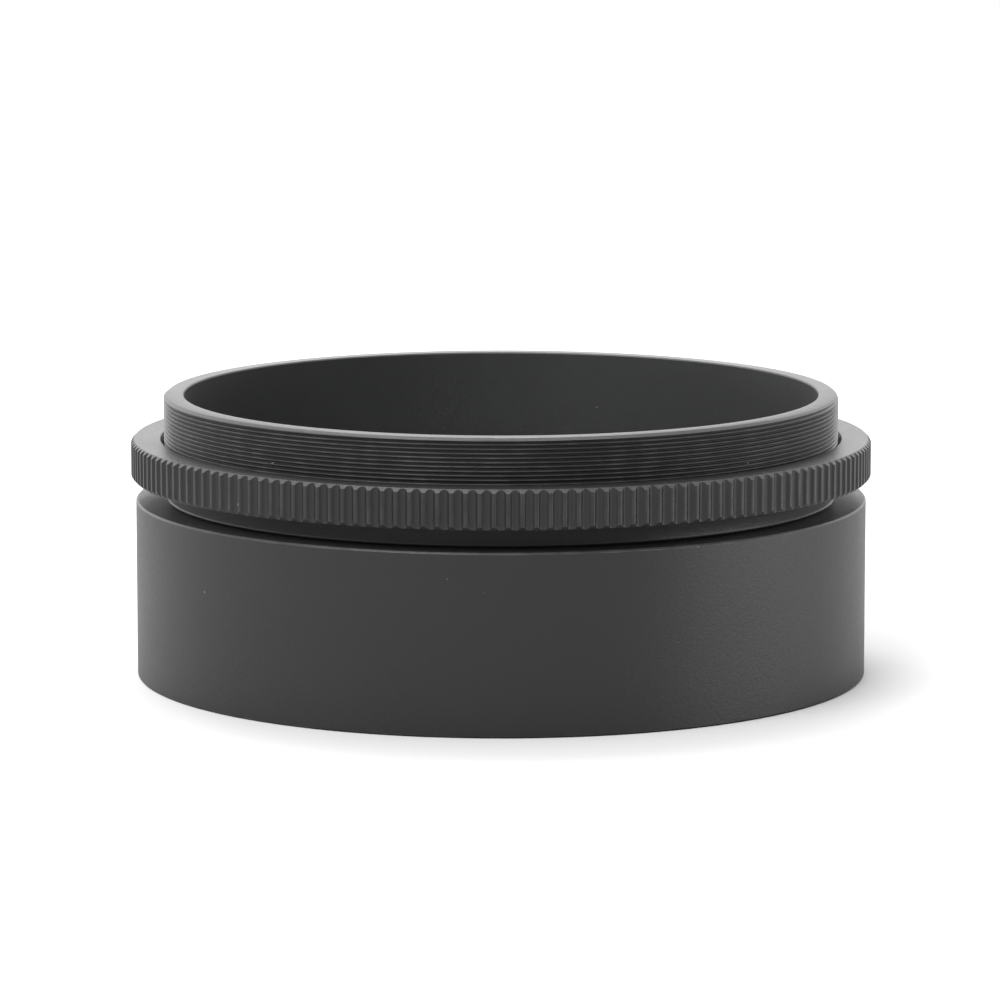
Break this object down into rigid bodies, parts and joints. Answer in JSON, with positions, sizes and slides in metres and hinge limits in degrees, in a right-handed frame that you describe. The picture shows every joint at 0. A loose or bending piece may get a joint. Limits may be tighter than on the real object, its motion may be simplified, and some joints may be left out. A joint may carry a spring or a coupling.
{
  "type": "barlow lens",
  "caption": "Large screw-in barlow lens: a low black barrel with a fine male thread, a knurled lock ring on it, a female thread in the base and a lens cell inside.",
  "frame": {"origin": "centre of the barrel's base, where it stands", "axes": "+Z along the optical axis, from the female thread to the male thread"},
  "size_m": [0.0878, 0.0878, 0.0334],
  "materials": {
    "barrel_anodised": "fine satin black anodised",
    "ring_anodised": "satin black anodised",
    "inner_anodised": "matte black anodised",
    "drag_plastic": "moulded nylon",
    "cushion_plastic": "thin washer",
    "front_glass": "polished, coated",
    "rear_glass": "polished, coated"
  },
  "bodies": {
    "barrel": {"barrel": "barrel_anodised", "lens_cell": "inner_anodised", "front_element": "front_glass", "rear_element": "rear_glass", "element_spacer": "inner_anodised", "cushion_ring": "cushion_plastic", "retaining_ring": "inner_anodised", "cell_lock_ring": "inner_anodised"},
    "ring_carrier": {"drag_ring": "drag_plastic"},
    "lock_ring": {"lock_ring": "ring_anodised"}
  },
  "joints": [
    {"name": "lock_ring_travel", "type": "slide", "parent": "barrel", "child": "ring_carrier", "axis": [0, 0, 1], "range_m": [-0.0025, 0.005]},
    {"name": "lock_ring_turn", "type": "hinge", "parent": "ring_carrier", "child": "lock_ring", "pos_m": [0, 0, 0.02584], "axis": [0, 0, 1], "range_deg": [-1800, 3600]}
  ],
  "couplings": [
    {"joint": "lock_ring_travel", "follows": "lock_ring_turn", "m_per_rad": 0.000079577}
  ]
}
